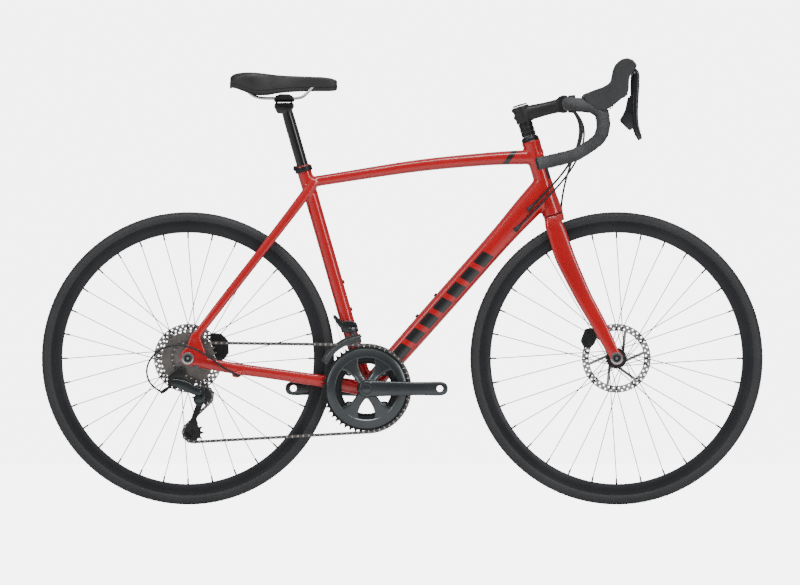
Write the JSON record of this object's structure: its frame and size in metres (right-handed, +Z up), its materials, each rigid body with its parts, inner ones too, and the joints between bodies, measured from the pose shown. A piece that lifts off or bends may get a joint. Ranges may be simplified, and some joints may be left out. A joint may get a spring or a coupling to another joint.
{
  "type": "road bicycle",
  "caption": "Road bicycle with a lightweight diamond frame, drop handlebar, disc brakes, derailleur gears, wire-spoked wheels and a slim saddle.",
  "frame": {"origin": "on the ground, halfway between the two axles, in the frame's middle plane", "axes": "+X forward, +Y to the rider's left, +Z up"},
  "size_m": [1.674, 0.4564, 1.0329],
  "materials": {
    "paint": "gloss",
    "black_paint": "gloss",
    "black_alloy": "satin",
    "grey_alloy": "satin",
    "steel": "satin",
    "chain_steel": "satin",
    "rotor_steel": "brushed",
    "tyre": "matte",
    "hood_rubber": "matte",
    "tape": "matte",
    "housing": "satin",
    "saddle_cover": "matte",
    "saddle_plastic": "matte",
    "pad": "matte",
    "resin": "matte"
  },
  "bodies": {
    "frame": {"frame": "paint", "headset_and_crank_bearings": "black_alloy", "seat_clamp": "black_alloy", "bottle_cage_bolts": "black_alloy", "rear_thru_axle": "black_alloy", "rear_brake_caliper": "black_alloy", "front_derailleur_body": "black_alloy", "rear_derailleur_mount": "grey_alloy", "chain": "chain_steel", "rear_shift_housing": "housing"},
    "saddle": {"seatpost": "black_paint", "saddle_clamp": "black_alloy", "saddle_rails": "steel", "saddle_cover": "saddle_cover", "saddle_shell": "saddle_plastic"},
    "steering": {"fork": "paint", "front_thru_axle": "black_alloy", "headset_spacers": "black_alloy", "stem": "black_alloy", "steerer_cap": "black_alloy", "stem_faceplate": "black_alloy", "handlebar": "black_alloy", "bar_tape": "tape", "hood_right": "hood_rubber", "hood_left": "hood_rubber", "front_brake_caliper": "black_alloy", "front_brake_hose": "housing", "rear_brake_hose": "housing", "shift_housings": "housing"},
    "front_wheel": {"front_tyre": "tyre", "front_rim": "grey_alloy", "front_spokes": "black_alloy", "front_rotor": "rotor_steel", "front_hub": "black_alloy"},
    "rear_wheel": {"rear_tyre": "tyre", "rear_rim": "grey_alloy", "rear_spokes": "black_alloy", "rear_rotor": "rotor_steel", "rear_hub": "black_alloy"},
    "cassette": {"cassette": "steel"},
    "crank": {"crank_right": "grey_alloy", "crank_left": "grey_alloy", "chainring_outer": "grey_alloy", "chainring_inner": "grey_alloy", "chainring_bolts": "black_alloy"},
    "front_derailleur": {"front_derailleur_cage": "steel"},
    "outer_link": {"rear_derailleur_outer_link": "grey_alloy"},
    "inner_link": {"rear_derailleur_inner_link": "grey_alloy"},
    "knuckle": {"rear_derailleur_knuckle": "grey_alloy"},
    "pulley_cage": {"rear_derailleur_cage": "black_paint"},
    "guide_pulley": {"guide_pulley": "resin"},
    "tension_pulley": {"tension_pulley": "resin"},
    "lever_right": {"brake_lever_right": "black_paint"},
    "lever_left": {"brake_lever_left": "black_paint"},
    "paddle_right": {"shift_paddle_right": "black_paint"},
    "paddle_left": {"shift_paddle_left": "black_paint"},
    "front_pad_left": {"front_pad_left": "pad"},
    "front_pad_right": {"front_pad_right": "pad"},
    "rear_pad_left": {"rear_pad_left": "pad"},
    "rear_pad_right": {"rear_pad_right": "pad"}
  },
  "joints": [
    {"name": "steer", "type": "hinge", "parent": "frame", "child": "steering", "pos_m": [0.35019, 0, 0.673], "axis": [-0.2924, 0, 0.9563], "range_deg": [-50, 50], "deforming": ["rear_brake_hose", "shift_housings"]},
    {"name": "front_wheel_spin", "type": "hinge", "parent": "steering", "child": "front_wheel", "pos_m": [0.497, 0, 0.34], "axis": [0, 1, 0], "continuous": true},
    {"name": "rear_wheel_spin", "type": "hinge", "parent": "frame", "child": "rear_wheel", "pos_m": [-0.497, 0, 0.34], "axis": [0, 1, 0], "continuous": true},
    {"name": "crank_spin", "type": "hinge", "parent": "frame", "child": "crank", "pos_m": [-0.083, 0, 0.27], "axis": [0, 1, 0], "continuous": true, "deforming": ["chain"]},
    {"name": "cassette_spin", "type": "hinge", "parent": "frame", "child": "cassette", "pos_m": [-0.497, 0, 0.34], "axis": [0, 1, 0], "continuous": true},
    {"name": "seatpost_height", "type": "slide", "parent": "frame", "child": "saddle", "axis": [-0.2756, 0, 0.9613], "range_m": [-0.06, 0.04]},
    {"name": "front_shift", "type": "hinge", "parent": "frame", "child": "front_derailleur", "pos_m": [-0.112, -0.038, 0.408], "axis": [1, 0, 0], "range_deg": [0, 8]},
    {"name": "rear_shift", "type": "hinge", "parent": "frame", "child": "outer_link", "pos_m": [-0.527, -0.10025, 0.284], "axis": [0, 0, 1], "range_deg": [-15, 19]},
    {"name": "inner_link_swing", "type": "hinge", "parent": "frame", "child": "inner_link", "pos_m": [-0.527, -0.08925, 0.284], "axis": [0, 0, 1], "range_deg": [-15, 19]},
    {"name": "knuckle_swing", "type": "hinge", "parent": "outer_link", "child": "knuckle", "pos_m": [-0.47, -0.10025, 0.262], "axis": [0, 0, 1], "range_deg": [-19, 15]},
    {"name": "cage_swing", "type": "hinge", "parent": "knuckle", "child": "pulley_cage", "pos_m": [-0.47, -0.054, 0.244], "axis": [0, 1, 0], "range_deg": [-30, 20], "stiffness_Nm_per_rad": 0.6},
    {"name": "guide_pulley_spin", "type": "hinge", "parent": "pulley_cage", "child": "guide_pulley", "pos_m": [-0.462, -0.0473, 0.253], "axis": [0, 1, 0], "continuous": true},
    {"name": "tension_pulley_spin", "type": "hinge", "parent": "pulley_cage", "child": "tension_pulley", "pos_m": [-0.4855, -0.0473, 0.16856], "axis": [0, 1, 0], "continuous": true},
    {"name": "brake_pull_right", "type": "hinge", "parent": "steering", "child": "lever_right", "pos_m": [0.537, -0.205, 1.001], "axis": [0, 1, 0], "range_deg": [0, 11], "stiffness_Nm_per_rad": 0.5},
    {"name": "brake_pull_left", "type": "hinge", "parent": "steering", "child": "lever_left", "pos_m": [0.537, 0.205, 1.001], "axis": [0, 1, 0], "range_deg": [0, 11], "stiffness_Nm_per_rad": 0.5},
    {"name": "shift_paddle_right_push", "type": "hinge", "parent": "lever_right", "child": "paddle_right", "pos_m": [0.532, -0.205, 0.95], "axis": [0, 0, 1], "range_deg": [0, 10], "stiffness_Nm_per_rad": 0.1},
    {"name": "shift_paddle_left_push", "type": "hinge", "parent": "lever_left", "child": "paddle_left", "pos_m": [0.532, 0.205, 0.95], "axis": [0, 0, 1], "range_deg": [-10, 0], "stiffness_Nm_per_rad": 0.1},
    {"name": "front_pad_left_press", "type": "slide", "parent": "steering", "child": "front_pad_left", "axis": [0, -1, 0], "range_m": [0, 0.00046]},
    {"name": "front_pad_right_press", "type": "slide", "parent": "steering", "child": "front_pad_right", "axis": [0, 1, 0], "range_m": [0, 0.00046]},
    {"name": "rear_pad_left_press", "type": "slide", "parent": "frame", "child": "rear_pad_left", "axis": [0, -1, 0], "range_m": [0, 0.00046]},
    {"name": "rear_pad_right_press", "type": "slide", "parent": "frame", "child": "rear_pad_right", "axis": [0, 1, 0], "range_m": [0, 0.00046]}
  ],
  "couplings": [
    {"joint": "cassette_spin", "follows": "crank_spin", "ratio": 2.7778},
    {"joint": "guide_pulley_spin", "follows": "crank_spin", "ratio": -4.5455},
    {"joint": "tension_pulley_spin", "follows": "crank_spin", "ratio": 4.5455},
    {"joint": "inner_link_swing", "follows": "rear_shift", "ratio": 1},
    {"joint": "knuckle_swing", "follows": "rear_shift", "ratio": -1},
    {"joint": "front_pad_left_press", "follows": "brake_pull_left", "m_per_rad": 0.002344},
    {"joint": "front_pad_right_press", "follows": "brake_pull_left", "m_per_rad": 0.002344},
    {"joint": "rear_pad_left_press", "follows": "brake_pull_right", "m_per_rad": 0.002344},
    {"joint": "rear_pad_right_press", "follows": "brake_pull_right", "m_per_rad": 0.002344}
  ]
}
